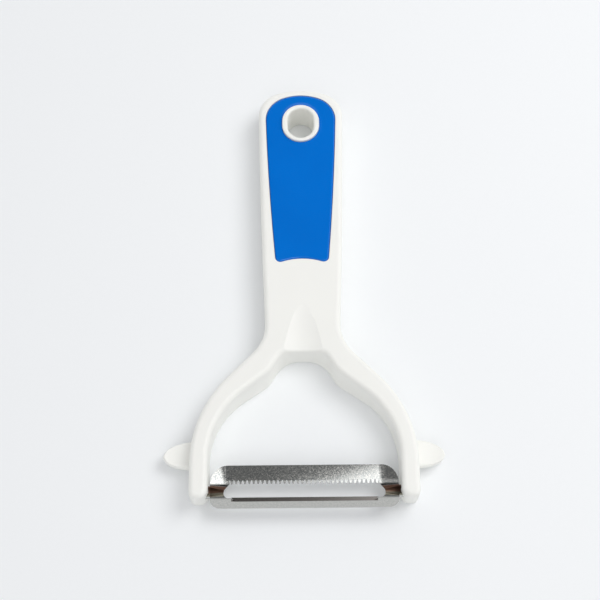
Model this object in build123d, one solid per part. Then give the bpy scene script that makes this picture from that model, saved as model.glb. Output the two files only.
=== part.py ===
from build123d import *
import math
import os

# Vegetable peeler with a swivelling blade across a forked handle, in millimetres.
# It lies on its back on z = 0. +Z is up, out of the grip's front, +Y points from the blade to the
# handle's tip and X runs along the blade. The origin is under the middle of the whole length.

# Driving dimensions of the whole
handle_length = 146.4        # from the arms' ends to the handle's tip
thickness = 11.3             # front to back, the same all over
edge_round = 1.7             # rounding of the front edges
back_bevel = 0.5             # bevel of the back edges
fit_gap = 0.12               # between pieces that snap together
overrun = 1.0                # how far a cutting shape runs past what it cuts

# Handle outline, half widths and places measured up from the arms' ends
tip_half_width = 14.75
tip_crown_radius = 27.0
tip_corner_radius = 9.0
neck_half_width = 12.2
neck_rise = 24.3             # from the shoulder corner up to where the side line meets its line
side_bow = 0.35
neck_radius = 13.6

# Fork
arm_half_span = 36.45        # to the outer face of an arm
arm_width = 5.95
shoulder_height = 28.1       # where the shoulder line would meet the arm's outer face
shoulder_radius = 40.0
end_outer_radius = 2.0
end_inner_radius = 2.9

# Opening between the arms. Its wall leans, so its outline is stated at the front and at the back.
front_bridge_half_width = 7.1
front_bridge_height = 47.9
front_bridge_arch = 0.6      # rise of its middle
front_bridge_radius = 2.6
front_elbow_half_width = 10.7
front_elbow_height = 42.1
front_elbow_radius = 9.0
front_inner_height = 26.35
front_inner_radius = 28.0
back_bridge_half_width = 6.1
back_bridge_height = 47.9
back_bridge_arch = 0.15
back_bridge_radius = 9.0
back_elbow_half_width = 11.4
back_elbow_height = 39.4
back_elbow_radius = 7.0
back_inner_height = 26.6
back_inner_radius = 25.4

# Ears that dig out potato eyes
ear_height = 15.2            # its middle, up from the arms' ends
ear_reach = 8.75             # past the arm's outer face
ear_half_width = 4.5
ear_droop = 0.5              # the tip leans to the arm's end
ear_thickness = 3.0
ear_floor = 2.6              # its underside above the back
ear_round = 0.9
ear_bevel = 0.6
ear_dish_depth = 0.5
ear_root = 1.5               # how deep it is rooted in the arm

# Thumb scoop over the bridge
scoop_radius = 17.7
scoop_start = 63.6           # where it leaves the front face
scoop_fall = 4.5             # degrees
scoop_edge_round = 0.8

# Inlay panel
inlay_tip_rim = 2.6          # handle left past the panel's crown
inlay_bottom = 79.2          # corners of its foot
inlay_top_half_width = 12.25
inlay_bottom_half_width = 8.75
inlay_crown_radius = 18.0
inlay_corner_radius = 9.0
inlay_side_bow = 0.47
inlay_foot_radius = 1.7
inlay_foot_bow = 1.9         # how far its middle stands above its corners
inlay_thickness = 1.9
inlay_proud = 0.15
inlay_edge_round = 0.6

# Hollow under the inlay
seat_width = 1.1             # ledge that the inlay rests on
floor_thickness = 2.2
rib_thickness = 1.2
rib_count = 4
rib_first_gap = 6.8          # from the panel's foot to the first rib
rib_last_gap = 13.8          # from the last rib to the hanging hole's middle

# Collar and hanging hole, an upright oval
hole_inset = 13.95           # its middle, down from the handle's tip
hole_radius = 4.5
hole_straight = 2.5          # straight run between its two half circles
collar_radius = 6.45
collar_straight = 1.5
collar_proud = 1.0
hole_mouth_round = 0.8
hole_back_bevel = 0.5
collar_edge_round = 0.45

# Snap tabs under the inlay
tab_width = 5.0
tab_thickness = 1.2
tab_depth = 4.6
tab_catch = 0.45             # how far a hook reaches under its catch
tab_hook_height = 1.2
tab_place_shares = (0.21, 0.63)  # of the way from the panel's foot to the hanging hole
tab_wall_gap = 0.2           # between a tab and the hollow's wall

# Blade strip
strip_thickness = 0.5
strip_radius = 15.0          # of the shallow valley, at mid thickness
valley_shift = 1.5           # the valley's lowest line, up from the pivot axis
valley_drop = 0.45           # the same line, below the pivot axis
blade_side_gap = 0.55        # between the blade's side and the arm
wing_height = 8.3            # toothed side's outer edge, up from the pivot axis
skirt_depth = 5.5            # plain side's outer edge, down from the pivot axis
wing_corner_radius = 5.6
skirt_corner_radius = 3.2
bend_gap = 4.75              # from the blade's side to where its end turns up
end_bend = 4.0               # degrees

# Slot, its teeth and its ground edges
slot_end_gap = 3.85          # from the blade's side to where the slot's nose would end in a point
slot_nose_radius = 2.0
slot_nose_rise = 0.25        # its middle, up from the pivot axis
slot_lower = 1.95            # plain cutting edge, down from the pivot axis
slot_corner_gap = 1.0        # from the nose back to the corner at the plain edge
slot_corner_radius = 1.5
slot_upper = 3.85            # roots of the teeth, up from the pivot axis
tooth_run_out = 1.75         # from the slot's nose to the first tooth, at least
tooth_pitch = 1.4
tooth_depth = 1.2
tooth_root_share = 0.74      # of the pitch
tooth_tip_share = 0.3        # of the pitch
lip_width = 1.2              # plain side's strip that is bent up to the cutting edge
lip_rise = 0.7
lip_end_gap = 2.9            # from the slot's nose, at the cutting edge
lip_runout = 1.2             # shorter than that at its root, at each end
lip_lap = 0.15               # how far its root runs into the strip
tooth_grind_width = 1.5
edge_land = 0.1              # thickness left at a ground edge

# Pivot
pivot_height = 2.85          # up from the arms' ends
pivot_level = 5.65           # above the back
journal_radius = 1.95
journal_wall = 0.35
journal_insert = 2.7         # how deep a journal sits in its arm
journal_clearance = 0.07     # radial
journal_end_gap = 0.3
gutter_nose_radius = 1.0     # outside, where the gutter runs out at the slot
gutter_nose_lap = 0.6        # how far it starts inside the nose's point
gutter_rim = 0.1             # rim of the gutter above the pivot axis
key_width = 0.9              # stop key in the bore, seated in the journal's open side
key_floor = 0.35             # its lower face above the pivot axis
swing = 22.0                 # degrees each way before the journal meets the key
swing_play = 3.0             # degrees left at the stop

# Places that follow
blade_overhang = skirt_depth - pivot_height
neck_height = shoulder_height + neck_rise
overall_length = handle_length + blade_overhang
end_y = blade_overhang - overall_length / 2
pivot_y = end_y + pivot_height
arm_inner = arm_half_span - arm_width
hole_height = handle_length - hole_inset
inlay_top = handle_length - inlay_tip_rim
rib_first = inlay_bottom + rib_first_gap
rib_last = hole_height - rib_last_gap
tab_heights = [inlay_bottom + share * (hole_height - inlay_bottom) for share in tab_place_shares]
blade_half_length = arm_inner - blade_side_gap
slot_half_length = blade_half_length - slot_end_gap
tooth_count = int(2 * (slot_half_length - tooth_run_out) / tooth_pitch)
teeth_half = tooth_count * tooth_pitch / 2
lip_half_length = slot_half_length - lip_end_gap
front = Plane.XY.offset(thickness)


def at_height(height):
    """Turn a place measured up from the arms' ends into a Y coordinate."""
    return end_y + height


def rounded(face, corners):
    """Round corners of a flat face. Each corner is its place and its radius."""
    for place, radius in corners:
        corner = face.vertices().sort_by_distance(Vector(place[0], place[1], 0))[0]
        face = fillet(corner, radius)
    return face


def both_sides(points):
    """The points followed by their mirror images, so that they close round the Y axis."""
    mirrored = [(-x, y) for x, y in reversed(points) if x > 0]
    return points + mirrored


def crown_sagitta(half_width, crown_radius):
    """How far a crown rises over the level where it meets the sides."""
    return crown_radius - math.sqrt(crown_radius**2 - half_width**2)


def handle_outline():
    """Outline of the handle and the fork, with the gap between the arms still filled."""
    crown = crown_sagitta(tip_half_width, tip_crown_radius)
    side_top = (tip_half_width, at_height(handle_length) - crown)
    neck = (neck_half_width, at_height(neck_height))
    shoulder = (arm_half_span, at_height(shoulder_height))
    arm_end = (arm_half_span, end_y)
    with BuildSketch() as sketch:
        with BuildLine():
            right_side = SagittaArc(neck, side_top, -side_bow)
            mirror(right_side, about=Plane.YZ)
            SagittaArc((-side_top[0], side_top[1]), side_top, crown)
            right = Polyline(neck, shoulder, arm_end)
            mirror(right, about=Plane.YZ)
            Line(arm_end, (-arm_end[0], arm_end[1]))
        make_face()
    corners = []
    for side in (1, -1):
        for place, radius in (
            (side_top, tip_corner_radius),
            (neck, neck_radius),
            (shoulder, shoulder_radius),
            (arm_end, end_outer_radius),
        ):
            corners.append(((side * place[0], place[1]), radius))
    return rounded(sketch.sketch, corners)


def opening_outline(bridge, elbow, inner, arch):
    """Outline of the gap between the arms. Each corner is its half width, height and radius."""
    open_end = (inner[0], end_y - overrun)
    points = [open_end] + [(corner[0], at_height(corner[1])) for corner in (inner, elbow, bridge)]
    with BuildSketch() as sketch:
        with BuildLine():
            right_side = Polyline(*points)
            mirror(right_side, about=Plane.YZ)
            SagittaArc((-points[-1][0], points[-1][1]), points[-1], arch)
            Line(open_end, (-open_end[0], open_end[1]))
        make_face()
    face = sketch.sketch
    corners = []
    for side in (1, -1):
        for half_width, height, radius in (inner, elbow, bridge):
            corners.append(((side * half_width, at_height(height)), radius))
    return rounded(face, corners)


def opening():
    """The gap between the arms, wider at the front than at the back."""
    front_face = opening_outline(
        (front_bridge_half_width, front_bridge_height, front_bridge_radius),
        (front_elbow_half_width, front_elbow_height, front_elbow_radius),
        (arm_inner, front_inner_height, front_inner_radius),
        front_bridge_arch,
    )
    back_face = opening_outline(
        (back_bridge_half_width, back_bridge_height, back_bridge_radius),
        (back_elbow_half_width, back_elbow_height, back_elbow_radius),
        (arm_inner, back_inner_height, back_inner_radius),
        back_bridge_arch,
    )
    return loft([back_face, front * front_face], ruled=True)


def inlay_outline(grow=0):
    """Outline of the inlay panel, grown or shrunk all round: a crowned tip, bowed sides, an arched foot."""
    top_half_width = inlay_top_half_width + grow
    crown_radius = inlay_crown_radius + grow
    crown = crown_sagitta(top_half_width, crown_radius)
    top = (top_half_width, at_height(inlay_top + grow) - crown)
    foot = (inlay_bottom_half_width + grow, at_height(inlay_bottom - grow))
    with BuildSketch() as sketch:
        with BuildLine():
            right_side = SagittaArc(foot, top, -inlay_side_bow)
            mirror(right_side, about=Plane.YZ)
            SagittaArc((-top[0], top[1]), top, crown)
            SagittaArc((-foot[0], foot[1]), foot, inlay_foot_bow)
        make_face()
    corners = []
    for side in (1, -1):
        corners.append(((side * top[0], top[1]), inlay_corner_radius + grow))
        corners.append(((side * foot[0], foot[1]), max(inlay_foot_radius + grow, fit_gap)))
    return rounded(sketch.sketch, corners)


def upright_oval(radius, straight):
    """An upright oval about the hanging hole's middle."""
    slot = SlotCenterToCenter(straight, 2 * radius, rotation=90)
    return Pos(0, at_height(hole_height)) * slot


def ear(side):
    """One ear: half an oval plate, dished on its front, leaning to the arm's end."""
    root_x = arm_half_span - ear_root
    half = Ellipse(ear_reach + ear_root, ear_half_width)
    outer_half = Pos(ear_reach, 0) * Rectangle(2 * ear_reach, 4 * ear_half_width)
    lean = -math.degrees(math.atan(ear_droop / ear_reach))
    plate = extrude(half & outer_half, ear_thickness)
    rims = plate.edges().filter_by(GeomType.ELLIPSE)
    plate = fillet(rims.sort_by(Axis.Z)[-1], ear_round)
    plate = chamfer(plate.edges().filter_by(GeomType.ELLIPSE).sort_by(Axis.Z)[0], ear_bevel)
    dish_reach = ear_reach / 2
    dish_radius = (dish_reach**2 + ear_dish_depth**2) / (2 * ear_dish_depth)
    dish = Pos(dish_reach + ear_root, 0, ear_thickness - ear_dish_depth + dish_radius) * Sphere(dish_radius)
    plate = plate - dish
    placed = Pos(root_x, at_height(ear_height), ear_floor) * (Rot(0, 0, lean) * plate)
    if side < 0:
        placed = mirror(placed, about=Plane.YZ)
    return placed


def pivot_bore(side):
    """Blind bore in one arm, with the stop key left standing in it."""
    depth = journal_insert + journal_end_gap
    radius = journal_radius + journal_clearance
    start = Plane(origin=(arm_inner - overrun, pivot_y, pivot_level), x_dir=(0, 1, 0), z_dir=(1, 0, 0))
    profile = Circle(radius)
    key_height = radius + overrun - key_floor
    key = Pos(0, key_floor + key_height / 2) * Rectangle(key_width, key_height)
    bore = extrude(start * (profile - key), depth + overrun)
    if side < 0:
        bore = mirror(bore, about=Plane.YZ)
    return bore


def handle_yoke():
    """The one-piece moulding."""
    body = extrude(handle_outline(), thickness) - opening()
    for side in (1, -1):
        corner = Vector(side * arm_inner, end_y, thickness / 2)
        body = fillet(body.edges().sort_by(lambda e: (e.center() - corner).length)[0], end_inner_radius)
    scoop_axis_height = thickness + scoop_radius
    scoop_length = 2 * scoop_start
    scoop = Rot(-90, 0, 0) * Cylinder(scoop_radius, scoop_length)
    scoop = Pos(0, at_height(scoop_start), scoop_axis_height) * (Rot(scoop_fall, 0, 0) * scoop)
    body = fillet(body.edges().group_by(Axis.Z)[-1], edge_round)
    body = chamfer(body.edges().group_by(Axis.Z)[0], back_bevel)
    body = body - scoop
    body = fillet(body.edges().filter_by(GeomType.ELLIPSE).group_by(Axis.Z)[-1], scoop_edge_round)
    for side in (1, -1):
        body = body + ear(side)
        body = body - pivot_bore(side)

    seat_level = thickness + inlay_proud - inlay_thickness
    seat_plane = Plane.XY.offset(seat_level)
    pocket = extrude(seat_plane * inlay_outline(fit_gap), thickness)
    hollow = extrude(Plane.XY.offset(floor_thickness) * inlay_outline(-seat_width), thickness)
    body = body - pocket - hollow

    boss = extrude(upright_oval(collar_radius, collar_straight), thickness + collar_proud)
    boss = fillet(boss.edges().group_by(Axis.Z)[-1], collar_edge_round)
    body = body + boss
    rib_depth = seat_level - floor_thickness
    for i in range(rib_count):
        height = rib_first + i * (rib_last - rib_first) / (rib_count - 1)
        bar = Pos(0, at_height(height), floor_thickness + rib_depth / 2) * Box(
            2 * tip_half_width, rib_thickness, rib_depth
        )
        body = body + (bar & hollow)

    for side in (1, -1):
        for height in tab_heights:
            body = body - tab_window(side, height)

    hole = extrude(upright_oval(hole_radius, hole_straight), thickness + collar_proud + overrun)
    body = body - hole
    body = fillet(hole_rim(body, thickness + collar_proud), hole_mouth_round)
    body = chamfer(hole_rim(body, 0), hole_back_bevel)
    return body


def hole_rim(body, level):
    """Edges of the hanging hole's rim that lie flat at a level."""
    middle = Vector(0, at_height(hole_height), level)
    reach = hole_radius + hole_straight / 2 + fit_gap
    flat = body.edges().filter_by(lambda e: e.bounding_box().size.Z < fit_gap)
    return flat.filter_by(lambda e: (e.center() - middle).length < reach)


def wall_x(height):
    """Half width of the hollow at a height, read from its outline."""
    line = Pos(0, at_height(height)) * Rectangle(4 * tip_half_width, tab_width)
    return (inlay_outline(-seat_width) & line).bounding_box().max.X


def tab_place(side, height):
    """Outer face of a tab beside the hollow's wall."""
    return side * (wall_x(height) - tab_wall_gap - (inlay_top_half_width - inlay_bottom_half_width) * tab_slope())


def tab_slope():
    """How far the panel's side closes in along half a tab, as a share of the whole taper."""
    return tab_width / (inlay_top - inlay_bottom)


def tab_window(side, height):
    """Catch pocket in the hollow's wall for one hook."""
    level = thickness + inlay_proud - inlay_thickness - tab_depth
    size_x = 4 * (tab_catch + tab_wall_gap + fit_gap)
    size_z = tab_hook_height + 2 * fit_gap
    centre_x = tab_place(side, height)
    return Pos(centre_x, at_height(height), level + tab_hook_height / 2) * Box(
        size_x, tab_width + 2 * fit_gap, size_z
    )


def grip_inlay():
    """The glossy panel with its hole round the collar and four hooked tabs."""
    seat_level = thickness + inlay_proud - inlay_thickness
    plate = extrude(Plane.XY.offset(seat_level) * inlay_outline(), inlay_thickness)
    plate = fillet(plate.edges().group_by(Axis.Z)[-1], inlay_edge_round)
    hole = extrude(upright_oval(collar_radius + fit_gap, collar_straight), 2 * thickness)
    plate = plate - hole
    for side in (1, -1):
        for height in tab_heights:
            outer_x = tab_place(side, height)
            leg = Pos(outer_x - side * tab_thickness / 2, at_height(height), seat_level - tab_depth / 2) * Box(
                tab_thickness, tab_width, tab_depth
            )
            hook_profile = Polyline(
                (outer_x, seat_level - tab_depth),
                (outer_x + side * tab_catch, seat_level - tab_depth + tab_hook_height),
                (outer_x, seat_level - tab_depth + tab_hook_height),
                close=True,
            )
            hook_plane = Plane(origin=(0, at_height(height), 0), x_dir=(1, 0, 0), z_dir=(0, -1, 0))
            hook = extrude(hook_plane * make_face(hook_profile), tab_width / 2, both=True)
            plate = plate + leg + hook
    return plate


def strip_section(lower, upper):
    """Section of the valley strip between two radii, as a face across the blade."""
    centre_y = pivot_y + valley_shift
    centre_z = pivot_level - valley_drop + strip_radius
    across = Plane(origin=(0, centre_y, centre_z), x_dir=(0, 1, 0), z_dir=(1, 0, 0))
    return across * (Circle(upper) - Circle(lower))


def blade_plan(points, corners):
    """A face in plan, placed about the pivot axis, with rounded corners."""
    face = make_face(Polyline(*points, close=True))
    return Pos(0, pivot_y, 0) * rounded(face, corners)


def bent_strip():
    """The valley strip, both ends turned up past the slot's noses, with a mitre at each bend."""
    section = strip_section(strip_radius - strip_thickness / 2, strip_radius + strip_thickness / 2)
    bend_at = Pos(blade_half_length - bend_gap, 0, pivot_level)
    half_bend = math.radians(end_bend / 2)
    mitre = Plane(origin=bend_at.position, z_dir=(math.cos(half_bend), 0, math.sin(half_bend)))
    flat = split(extrude(section, blade_half_length), bisect_by=mitre, keep=Keep.BOTTOM)
    level_end = Pos(blade_half_length - bend_gap - overrun, 0, 0) * extrude(section, bend_gap + 2 * overrun)
    turned_end = bend_at * (Rot(0, -end_bend, 0) * (bend_at.inverse() * level_end))
    half = flat + split(turned_end, bisect_by=mitre, keep=Keep.TOP)
    return half + mirror(half, about=Plane.YZ)


def swivel_blade():
    """The stamped strip with slot, teeth, ground edges, gutters and journals."""
    half_length = blade_half_length
    strip = bent_strip()
    outline_points = both_sides([(half_length, wing_height), (half_length, -skirt_depth)])
    corners = []
    for side in (1, -1):
        corners.append(((side * half_length, wing_height), wing_corner_radius))
        corners.append(((side * half_length, -skirt_depth), skirt_corner_radius))
    outline = blade_plan(outline_points, corners)
    strip = strip & extrude(outline, 2 * thickness)

    for side in (1, -1):
        strip = strip + gutter(side, journal_radius, gutter_nose_radius)
    for side in (1, -1):
        inner_nose = gutter_nose_radius - journal_wall
        strip = strip - gutter_groove(side, journal_radius - journal_wall, inner_nose)
    strip = strip - extrude(slot_plan(), 2 * thickness)
    strip = strip - tooth_grind() + raised_lip()
    for side in (1, -1):
        strip = strip + journal(side)
    return strip


def gutter_span():
    """From the gutter's nose at the slot to the blade's side."""
    return slot_half_length - gutter_nose_lap, blade_half_length


def cone_along_x(side, start, end, start_radius, end_radius):
    """A cone on the pivot axis."""
    length = end - start
    body = Rot(0, 90, 0) * Cone(start_radius, end_radius, length)
    body = Pos((start + end) / 2, pivot_y, pivot_level) * body
    if side < 0:
        body = mirror(body, about=Plane.YZ)
    return body


def gutter(side, end_radius, nose_radius):
    """Outside of a pressed gutter, below its rim."""
    start, end = gutter_span()
    body = cone_along_x(side, start, end, nose_radius, end_radius)
    rim_cut = Pos(0, pivot_y, pivot_level + gutter_rim - thickness / 2) * Box(
        2 * arm_half_span, 2 * thickness, thickness
    )
    return body & rim_cut


def gutter_groove(side, end_radius, nose_radius):
    """Inside of a pressed gutter."""
    start, end = gutter_span()
    slope = (end_radius - nose_radius) / (end - start)
    return cone_along_x(side, start, end + overrun, nose_radius, end_radius + slope * overrun)


def journal(side):
    """Rolled journal: a tube open along its front, where the stop key sits."""
    start = blade_half_length
    end = arm_inner + journal_insert
    inner = journal_radius - journal_wall
    half_key = math.degrees(math.asin(key_width / 2 / inner))
    half_opening = half_key + swing + swing_play
    across = Plane(origin=(start, pivot_y, pivot_level), x_dir=(0, 1, 0), z_dir=(1, 0, 0))
    reach = 2 * journal_radius
    half_gap = reach * math.tan(math.radians(half_opening))
    opening = make_face(Polyline((0, 0), (half_gap, reach), (-half_gap, reach), close=True))
    body = extrude(across * (Circle(journal_radius) - Circle(inner) - opening), end - start)
    if side < 0:
        body = mirror(body, about=Plane.YZ)
    return body


def slot_plan():
    """The slot in plan: rounded noses, room for the raised lip, and teeth on its upper side."""
    tip_level = slot_upper - tooth_depth
    corner_at = slot_half_length - slot_corner_gap
    lower_points = [
        (lip_half_length - lip_runout, -slot_lower - lip_width),
        (lip_half_length, -slot_lower),
        (corner_at, -slot_lower),
        (slot_half_length, slot_nose_rise),
        (teeth_half, tip_level),
        (teeth_half, slot_upper),
    ]
    root_half = tooth_root_share * tooth_pitch / 2
    tip_half = tooth_tip_share * tooth_pitch / 2
    tooth_points = []
    for i in range(tooth_count):
        middle = teeth_half - (i + 1 / 2) * tooth_pitch
        tooth_points.append((middle + root_half, slot_upper))
        tooth_points.append((middle + tip_half, tip_level))
        tooth_points.append((middle - tip_half, tip_level))
        tooth_points.append((middle - root_half, slot_upper))
    mirrored = [(-x, y) for x, y in reversed(lower_points)]
    corners = []
    for side in (1, -1):
        corners.append(((side * slot_half_length, slot_nose_rise), slot_nose_radius))
        corners.append(((side * corner_at, -slot_lower), slot_corner_radius))
    return blade_plan(lower_points + tooth_points + mirrored, corners)


def strip_level(place, radius):
    """Height of one of the strip's faces over the pivot axis, at a place up from that axis."""
    return strip_radius - valley_drop - math.sqrt(radius**2 - (place - valley_shift) ** 2)


def raised_lip():
    """Plain cutting edge: the slot's lower side, bent up and ground thin."""
    root_at = -slot_lower - lip_width
    root_level = strip_level(root_at, strip_radius)
    lap_at = root_at - lip_lap
    lap_level = strip_level(lap_at, strip_radius)
    half_thickness = strip_thickness / 2
    edge_level = root_level + lip_rise
    profile = Polyline(
        (lap_at, lap_level + half_thickness),
        (root_at, root_level + half_thickness),
        (-slot_lower, edge_level),
        (-slot_lower, edge_level - edge_land),
        (root_at, root_level - half_thickness),
        (lap_at, lap_level - half_thickness),
        close=True,
    )
    across = Plane(origin=(0, pivot_y, pivot_level), x_dir=(0, 1, 0), z_dir=(1, 0, 0))
    bar = extrude(across * make_face(profile), lip_half_length, both=True)
    root_half = lip_half_length - lip_runout
    points = [(lip_half_length, -slot_lower), (root_half, root_at), (root_half, lap_at)]
    return bar & extrude(blade_plan(both_sides(points), []), 2 * thickness)


def tooth_grind():
    """Wedge that grinds the teeth from below, up to a thin land under the strip's upper face."""
    tip_at = slot_upper - tooth_depth
    far_at = tip_at + tooth_grind_width
    tip_level = strip_level(tip_at, strip_radius - strip_thickness / 2) - edge_land
    far_level = strip_level(far_at, strip_radius + strip_thickness / 2)
    slope = (far_level - tip_level) / tooth_grind_width
    profile = Polyline(
        (tip_at - overrun, tip_level - slope * overrun),
        (far_at + overrun, far_level + slope * overrun),
        (far_at + overrun, far_level - 2 * overrun),
        (tip_at - overrun, far_level - 2 * overrun),
        close=True,
    )
    across = Plane(origin=(0, pivot_y, pivot_level), x_dir=(0, 1, 0), z_dir=(1, 0, 0))
    return extrude(across * make_face(profile), teeth_half, both=True)


os.makedirs("parts", exist_ok=True)
pieces = {
    "handle_yoke": handle_yoke(),
    "grip_inlay": grip_inlay(),
    "swivel_blade": swivel_blade(),
}
for name, shape in pieces.items():
    export_step(shape, "parts/" + name + ".step")
    size = shape.bounding_box()
    print(name, len(shape.solids()), "solid", round(shape.volume, 1), "mm3", size.min, size.max)
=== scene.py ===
import math

import bpy
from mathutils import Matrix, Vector

# Looks of a vegetable peeler with a swivelling blade. Lengths are in metres; mm() turns millimetres.

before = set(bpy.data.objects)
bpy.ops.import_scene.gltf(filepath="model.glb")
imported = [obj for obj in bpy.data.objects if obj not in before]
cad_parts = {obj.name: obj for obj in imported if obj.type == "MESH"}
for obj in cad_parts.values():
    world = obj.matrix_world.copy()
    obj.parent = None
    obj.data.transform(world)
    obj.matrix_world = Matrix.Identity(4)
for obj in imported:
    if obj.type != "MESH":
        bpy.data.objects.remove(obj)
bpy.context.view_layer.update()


def mm(value):
    """Millimetres to metres."""
    return value / 1000


def per_mm(size):
    """Texture scale that gives features of a size in millimetres."""
    return 1 / mm(size)


def linear(hex_colour):
    """An sRGB hex colour as linear RGBA."""
    channels = []
    for i in (0, 2, 4):
        c = int(hex_colour[i : i + 2], 16) / 255
        channels.append(c / 12.92 if c <= 0.04045 else ((c + 0.055) / 1.055) ** 2.4)
    return (*channels, 1.0)


HOLE_Y = mm(60.575)      # the hanging hole's middle
HOLE_STRETCH = 1.12      # the collar round the hole is an oval, so much longer than it is wide
PIVOT_Y = mm(-69.025)    # the blade's swivel axis
BLADE_END_X = mm(29.95)
BEND_X = mm(25.2)        # where each end of the blade bends

WORLD_LIGHT = 0.585
SOFTBOX_SLANT = 0.06     # of the softbox's near edge, as the part sees it


def new_material(name):
    """A node material with only its shader, and its tree."""
    material = bpy.data.materials.new(name)
    material.use_nodes = True
    tree = material.node_tree
    tree.nodes.clear()
    output = tree.nodes.new("ShaderNodeOutputMaterial")
    shader = tree.nodes.new("ShaderNodeBsdfPrincipled")
    tree.links.new(shader.outputs["BSDF"], output.inputs["Surface"])
    return material, tree, shader


def add(tree, kind, inputs, **settings):
    """Add a node with its settings. Inputs go by socket name or number, each a value or a socket to link."""
    node = tree.nodes.new("ShaderNode" + kind)
    for key, value in settings.items():
        setattr(node, key, value)
    for key, value in inputs.items():
        if isinstance(value, bpy.types.NodeSocket):
            tree.links.new(value, node.inputs[key])
        else:
            node.inputs[key].default_value = value
    return node


def moulded_skin(tree, shader, place, colour, shade, roughness, grain_depth):
    """What both mouldings share: a faint flow tone, a fine moulded grain and a slow sink ripple.

    It sets the shader's colour and roughness, and gives the normal for the caller to link or to build on.
    """
    flow = add(tree, "TexNoise", {"Vector": place, "Scale": per_mm(14.0), "Detail": 2.0})
    tone = add(tree, "MapRange", {"Value": flow.outputs["Fac"], "From Min": 0.3, "From Max": 0.7})
    colours = add(tree, "Mix", {0: tone.outputs[0], 6: linear(colour), 7: linear(shade)}, data_type="RGBA")
    # spark-eroded grain is about 0.05 mm, drawn at 0.35 mm so that it shows
    grain = add(tree, "TexNoise", {"Vector": place, "Scale": per_mm(0.35), "Detail": 4.0, "Roughness": 0.6})
    spread = 0.05
    rough = add(
        tree, "MapRange",
        {"Value": grain.outputs["Fac"], "To Min": roughness - spread, "To Max": roughness + spread},
    )
    sink = add(tree, "TexNoise", {"Vector": place, "Scale": per_mm(9.0), "Detail": 1.0})
    ripple = add(tree, "Bump", {"Height": sink.outputs["Fac"], "Distance": mm(0.02)})
    skin = add(
        tree, "Bump",
        {"Height": grain.outputs["Fac"], "Distance": grain_depth, "Normal": ripple.outputs["Normal"]},
    )
    tree.links.new(colours.outputs[2], shader.inputs["Base Color"])
    tree.links.new(rough.outputs[0], shader.inputs["Roughness"])
    return skin.outputs["Normal"]


def white_polypropylene():
    """Satin moulded polypropylene: an even warm white with soft, wide highlights on its rounded rims."""
    material, tree, shader = new_material("injection_moulded_polypropylene_white")
    place = add(tree, "TexCoord", {}).outputs["Object"]
    skin = moulded_skin(tree, shader, place, "FBFBF6", "F9F9F4", roughness=0.42, grain_depth=mm(0.003))
    tree.links.new(skin, shader.inputs["Normal"])
    shader.inputs["IOR"].default_value = 1.49
    return material


def blue_abs():
    """Gloss moulded ABS: an even clear blue under a smooth shine, with a low bead round the hole."""
    material, tree, shader = new_material("gloss_moulded_abs_blue")
    place = add(tree, "TexCoord", {}).outputs["Object"]
    skin = moulded_skin(tree, shader, place, "0073D7", "0070D3", roughness=0.12, grain_depth=mm(0.0006))

    bead_foot, bead_top, bead_height = mm(7.7), mm(6.7), mm(0.14)
    from_hole = add(tree, "VectorMath", {0: place, 1: (0.0, HOLE_Y, 0.0)}, operation="SUBTRACT")
    rounded = add(
        tree, "VectorMath", {0: from_hole.outputs[0], 1: (1.0, 1.0 / HOLE_STRETCH, 0.0)}, operation="MULTIPLY"
    )
    reach = add(tree, "VectorMath", {0: rounded.outputs[0]}, operation="LENGTH")
    bead = add(
        tree, "MapRange", {"Value": reach.outputs["Value"], "From Min": bead_foot, "From Max": bead_top},
        interpolation_type="SMOOTHSTEP",
    )
    raised = add(tree, "Bump", {"Height": bead.outputs[0], "Distance": bead_height, "Normal": skin})
    tree.links.new(raised.outputs["Normal"], shader.inputs["Normal"])
    shader.inputs["IOR"].default_value = 1.53
    return material


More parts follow.
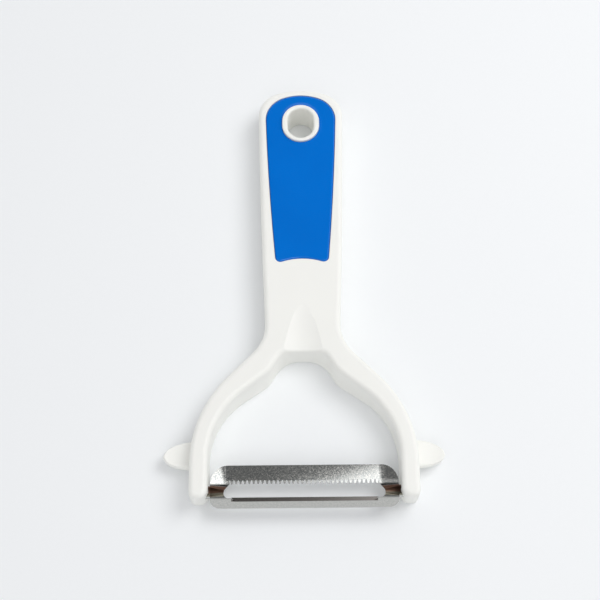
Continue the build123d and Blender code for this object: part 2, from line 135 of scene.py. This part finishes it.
def blade_steel():
    """Stamped stainless strip, tumbled: a mottled mirror on the toothed wing, smoother on the skirt.

    The tumbling stones don't reach into the pressed gutters at both ends, so these stay dull. Their colour is
    painted shade and reflection: dark brown on the upper half, a lighter grey green on the lower half.
    """
    material, tree, shader = new_material("stamped_stainless_steel_tumbled")
    place = add(tree, "TexCoord", {}).outputs["Object"]
    axes = add(tree, "SeparateXYZ", {0: place})
    along = add(tree, "Math", {0: axes.outputs["X"]}, operation="ABSOLUTE").outputs[0]
    across = add(tree, "Math", {0: axes.outputs["Y"], 1: -PIVOT_Y}, operation="ADD").outputs[0]

    # where the gutters are: 1 in them and 0 elsewhere. They widen a little towards the blade's ends.
    gutter_middle, gutter_start, gutter_full = mm(0.3), mm(22.2), mm(22.6)
    blur = mm(0.15)
    half_width = add(
        tree, "MapRange",
        {
            "Value": along, "From Min": BEND_X + mm(0.3), "From Max": BLADE_END_X,
            "To Min": mm(1.6), "To Max": mm(1.9),
        },
        clamp=False,
    )
    above_middle = add(tree, "Math", {0: across, 1: gutter_middle}, operation="SUBTRACT")
    off_middle = add(tree, "Math", {0: above_middle.outputs[0]}, operation="ABSOLUTE")
    depth = add(tree, "Math", {0: half_width.outputs[0], 1: off_middle.outputs[0]}, operation="SUBTRACT")
    inside = add(tree, "MapRange", {"Value": depth.outputs[0], "From Min": -blur, "From Max": blur})
    ends = add(tree, "MapRange", {"Value": along, "From Min": gutter_start, "From Max": gutter_full})
    gutter = add(tree, "Math", {0: inside.outputs[0], 1: ends.outputs[0]}, operation="MULTIPLY").outputs[0]

    # the tumbled pits are about 0.1 mm wide, drawn at 0.5 mm so that they show. The skirt has few.
    mottle = add(tree, "TexNoise", {"Vector": place, "Scale": per_mm(0.5), "Detail": 5.0, "Roughness": 0.7})
    skirt_pits, wing_pits = 0.25, 1.0
    pitted = add(
        tree, "MapRange",
        {
            "Value": across, "From Min": mm(-1.5), "From Max": mm(2.0),
            "To Min": skirt_pits, "To Max": wing_pits,
        },
    )
    spots = add(
        tree, "MapRange",
        {"Value": mottle.outputs["Fac"], "From Min": 0.36, "From Max": 0.64, "To Min": -0.5, "To Max": 0.5},
    )
    tone = add(tree, "Math", {0: spots.outputs[0], 1: pitted.outputs[0], 2: 0.5}, operation="MULTIPLY_ADD")
    tumbled = add(
        tree, "Mix", {0: tone.outputs[0], 6: linear("A6ABAB"), 7: linear("DCDBD7")}, data_type="RGBA"
    )

    # painted shade and reflection in the gutters: the upper half is painted dark brown, the lower half a
    # lighter grey green
    painted_lit_lower_half = add(tree, "MapRange", {"Value": across, "From Min": mm(0.3), "From Max": mm(-0.3)})
    gutter_painted_shade = add(
        tree, "Mix", {0: painted_lit_lower_half.outputs[0], 6: linear("7A5F52"), 7: linear("BFBBAA")}, data_type="RGBA"
    )
    pressed = add(tree, "Mix", {0: gutter, 6: tumbled.outputs[2], 7: gutter_painted_shade.outputs[2]}, data_type="RGBA")

    # the plain cutting edge is painted darker, painted shade standing in for the dark surroundings it
    # mirrors, and it is a little rougher
    above_root = add(tree, "MapRange", {"Value": across, "From Min": mm(-3.2), "From Max": mm(-3.1)})
    below_edge = add(tree, "MapRange", {"Value": across, "From Min": mm(-1.8), "From Max": mm(-1.9)})
    off_nose = add(tree, "MapRange", {"Value": along, "From Min": mm(23.3), "From Max": mm(23.1)})
    strip = add(tree, "Math", {0: above_root.outputs[0], 1: below_edge.outputs[0]}, operation="MULTIPLY")
    edge_painted_shade = add(tree, "Math", {0: strip.outputs[0], 1: off_nose.outputs[0]}, operation="MULTIPLY").outputs[0]
    colours = add(tree, "Mix", {0: edge_painted_shade, 6: pressed.outputs[2], 7: linear("807C79")}, data_type="RGBA")

    polished, in_pits, in_gutter, on_edge = 0.04, 0.13, 0.55, 0.16
    mirror = add(tree, "MapRange", {"Value": tone.outputs[0], "To Min": polished, "To Max": in_pits})
    rough = add(tree, "Mix", {0: gutter, 2: mirror.outputs[0], 3: in_gutter}, data_type="FLOAT")
    rough = add(tree, "Mix", {0: edge_painted_shade, 2: rough.outputs[0], 3: on_edge}, data_type="FLOAT")

    # rolling lines along the strip are about 0.02 mm apart, drawn at 0.12 mm
    stretched = add(tree, "Mapping", {"Vector": place, "Scale": (0.08, 1, 1)})
    grain = add(
        tree, "TexNoise", {"Vector": stretched.outputs["Vector"], "Scale": per_mm(0.12), "Detail": 3.0}
    )
    lines = add(tree, "Bump", {"Height": grain.outputs["Fac"], "Distance": mm(0.0008)})
    dents = add(
        tree, "Bump",
        {
            "Strength": pitted.outputs[0], "Height": mottle.outputs["Fac"], "Distance": mm(0.004),
            "Normal": lines.outputs["Normal"],
        },
    )

    # the press leaves the bend at each end soft over about 3 mm
    bend_reach, bend_rise = mm(1.6), mm(0.028)
    from_bend = add(tree, "Math", {0: along, 1: BEND_X}, operation="SUBTRACT")
    off_bend = add(tree, "Math", {0: from_bend.outputs[0]}, operation="ABSOLUTE")
    near_bend = add(tree, "MapRange", {"Value": off_bend.outputs[0], "From Min": bend_reach, "From Max": 0.0})
    swell = add(tree, "Math", {0: near_bend.outputs[0], 1: 2.0}, operation="POWER")
    bend = add(
        tree, "Bump", {"Height": swell.outputs[0], "Distance": bend_rise, "Normal": dents.outputs["Normal"]}
    )
    tree.links.new(colours.outputs[2], shader.inputs["Base Color"])
    tree.links.new(rough.outputs[0], shader.inputs["Roughness"])
    tree.links.new(bend.outputs["Normal"], shader.inputs["Normal"])
    shader.inputs["Metallic"].default_value = 1.0
    return material


def dress(node, material):
    """Give a CAD node a material in all its slots."""
    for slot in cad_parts[node].material_slots:
        slot.material = material


def studio_floor():
    """A plain pale paper sheet, a hair under the part so that no face of the part lies in it."""
    half, gap = 8.0, mm(0.1)
    mesh = bpy.data.meshes.new("studio_floor")
    corners = [(-half, -half, 0), (half, -half, 0), (half, half, 0), (-half, half, 0)]
    mesh.from_pydata(corners, [], [(0, 1, 2, 3)])
    floor = bpy.data.objects.new("studio_floor", mesh)
    floor.location.z = -gap
    bpy.context.scene.collection.objects.link(floor)

    material, tree, shader = new_material("matte_paper_sweep")
    place = add(tree, "TexCoord", {}).outputs["Object"]
    fibre = add(tree, "TexNoise", {"Vector": place, "Scale": per_mm(1.2), "Detail": 4.0})
    paper = add(
        tree, "Mix", {0: fibre.outputs["Fac"], 6: linear("F7F9FA"), 7: linear("F9FBFC")}, data_type="RGBA"
    )
    tree.links.new(paper.outputs[2], shader.inputs["Base Color"])
    shader.inputs["Roughness"].default_value = 0.9
    shader.inputs["Specular IOR Level"].default_value = 0.1

    # far from the part the camera sees the sheet as evenly pale as the backdrop
    lit_within, even_beyond = 0.3, 0.8
    reach = add(tree, "VectorMath", {0: place}, operation="LENGTH")
    far = add(
        tree, "MapRange", {"Value": reach.outputs["Value"], "From Min": lit_within, "From Max": even_beyond},
        interpolation_type="SMOOTHSTEP",
    )
    path = add(tree, "LightPath", {})
    shown = add(tree, "Math", {0: far.outputs[0], 1: path.outputs["Is Camera Ray"]}, operation="MULTIPLY")
    pale = add(tree, "Emission", {"Color": linear("F3F5F7"), "Strength": 1.0})
    sheet = add(tree, "MixShader", {0: shown.outputs[0], 1: shader.outputs[0], 2: pale.outputs[0]})
    tree.links.new(sheet.outputs[0], tree.nodes["Material Output"].inputs["Surface"])
    mesh.materials.append(material)


def soft_light(name, elevation, bearing, distance, size, power):
    """A square white area light that faces the part, from an elevation and a bearing from +X towards +Y."""
    e, b = math.radians(elevation), math.radians(bearing)
    place = distance * Vector((math.cos(e) * math.cos(b), math.cos(e) * math.sin(b), math.sin(e)))
    data = bpy.data.lights.new(name, "AREA")
    data.size = size
    data.energy = power
    light = bpy.data.objects.new(name, data)
    light.location = place
    light.rotation_euler = (-place).to_track_quat("-Z", "Y").to_euler()
    light.visible_glossy = False
    bpy.context.scene.collection.objects.link(light)


def studio_world():
    """A light tent: even light for surfaces, and what shiny surfaces see of the studio round the table."""
    world = bpy.data.worlds.new("studio_tent")
    bpy.context.scene.world = world
    world.use_nodes = True
    tree = world.node_tree
    tree.nodes.clear()
    output = tree.nodes.new("ShaderNodeOutputWorld")
    even = add(tree, "Background", {"Color": linear("FDFDFF"), "Strength": WORLD_LIGHT})
    backdrop = add(tree, "Background", {"Color": linear("F3F5F7"), "Strength": 1.0})

    direction = add(tree, "TexCoord", {}).outputs["Generated"]
    axes = add(tree, "SeparateXYZ", {0: direction})
    x, y = axes.outputs["X"], axes.outputs["Y"]
    slant = add(tree, "Math", {0: y, 1: SOFTBOX_SLANT, 2: x}, operation="MULTIPLY_ADD").outputs[0]
    # each has its strength, then the edges where it fades in: a source, its dark end and its bright end
    lights = (
        # tent wall towards +Y
        (0.8, ((y, 0.6, 0.7),)),
        # softbox on the right
        (1.6, ((slant, 0.01, 0.04), (x, 0.75, 0.6), (y, -0.67, -0.58), (y, 0.12, 0.04))),
        # dim ceiling
        (0.07, ((y, 0.14, 0.04),)),
        # window far on the right
        (0.5, ((x, 0.3, 0.45), (y, 0.75, 0.65))),
        # ceiling over the blade
        (0.11, ((y, -0.7, -0.62), (y, 0.14, 0.04))),
        # ceiling on the right
        (0.07, ((x, -0.02, 0.01), (y, 0.14, 0.04))),
        # lamp head over the blade
        (0.3, ((y, -0.1, 0.0), (y, 0.14, 0.04))),
    )
    seen = 0.004
    for strength, edges in lights:
        level = strength
        for source, dark, bright in edges:
            fade = add(
                tree, "MapRange", {"Value": source, "From Min": dark, "From Max": bright},
                interpolation_type="SMOOTHSTEP",
            )
            level = add(tree, "Math", {0: level, 1: fade.outputs[0]}, operation="MULTIPLY").outputs[0]
        seen = add(tree, "Math", {0: seen, 1: level}, operation="ADD").outputs[0]
    tent = add(tree, "Background", {"Color": linear("FFFFFF"), "Strength": seen})

    path = add(tree, "LightPath", {})
    for_gloss = add(
        tree, "MixShader", {0: path.outputs["Is Glossy Ray"], 1: even.outputs[0], 2: tent.outputs[0]}
    )
    shown = add(
        tree, "MixShader", {0: path.outputs["Is Camera Ray"], 1: for_gloss.outputs[0], 2: backdrop.outputs[0]}
    )
    tree.links.new(shown.outputs[0], output.inputs["Surface"])


def photo_camera():
    """The photograph's viewpoint: 68 degrees above the table, from the blade's side."""
    target = Vector((mm(-0.8), mm(-1.28), 0))
    distance = mm(446)
    from_vertical = math.radians(22.0)
    azimuth = math.radians(-0.55)
    direction = Vector(
        (
            math.sin(azimuth) * math.sin(from_vertical),
            -math.cos(azimuth) * math.sin(from_vertical),
            math.cos(from_vertical),
        )
    )
    data = bpy.data.cameras.new("photo_camera")
    data.sensor_width = 36.0
    data.lens = 78.7
    data.clip_start = 0.01
    data.clip_end = 20.0
    camera = bpy.data.objects.new("photo_camera", data)
    camera.location = target + direction * distance
    camera.rotation_euler = (-direction).to_track_quat("-Z", "Y").to_euler()
    bpy.context.scene.collection.objects.link(camera)
    bpy.context.scene.camera = camera


dress("handle_yoke", white_polypropylene())
dress("grip_inlay", blue_abs())
dress("swivel_blade", blade_steel())

studio_floor()
studio_world()
soft_light("key_softbox", elevation=56, bearing=26, distance=0.9, size=0.5, power=2.9)
soft_light("front_fill", elevation=58, bearing=-95, distance=1.2, size=1.0, power=1.9)
photo_camera()
bpy.context.scene.view_settings.view_transform = "Standard"
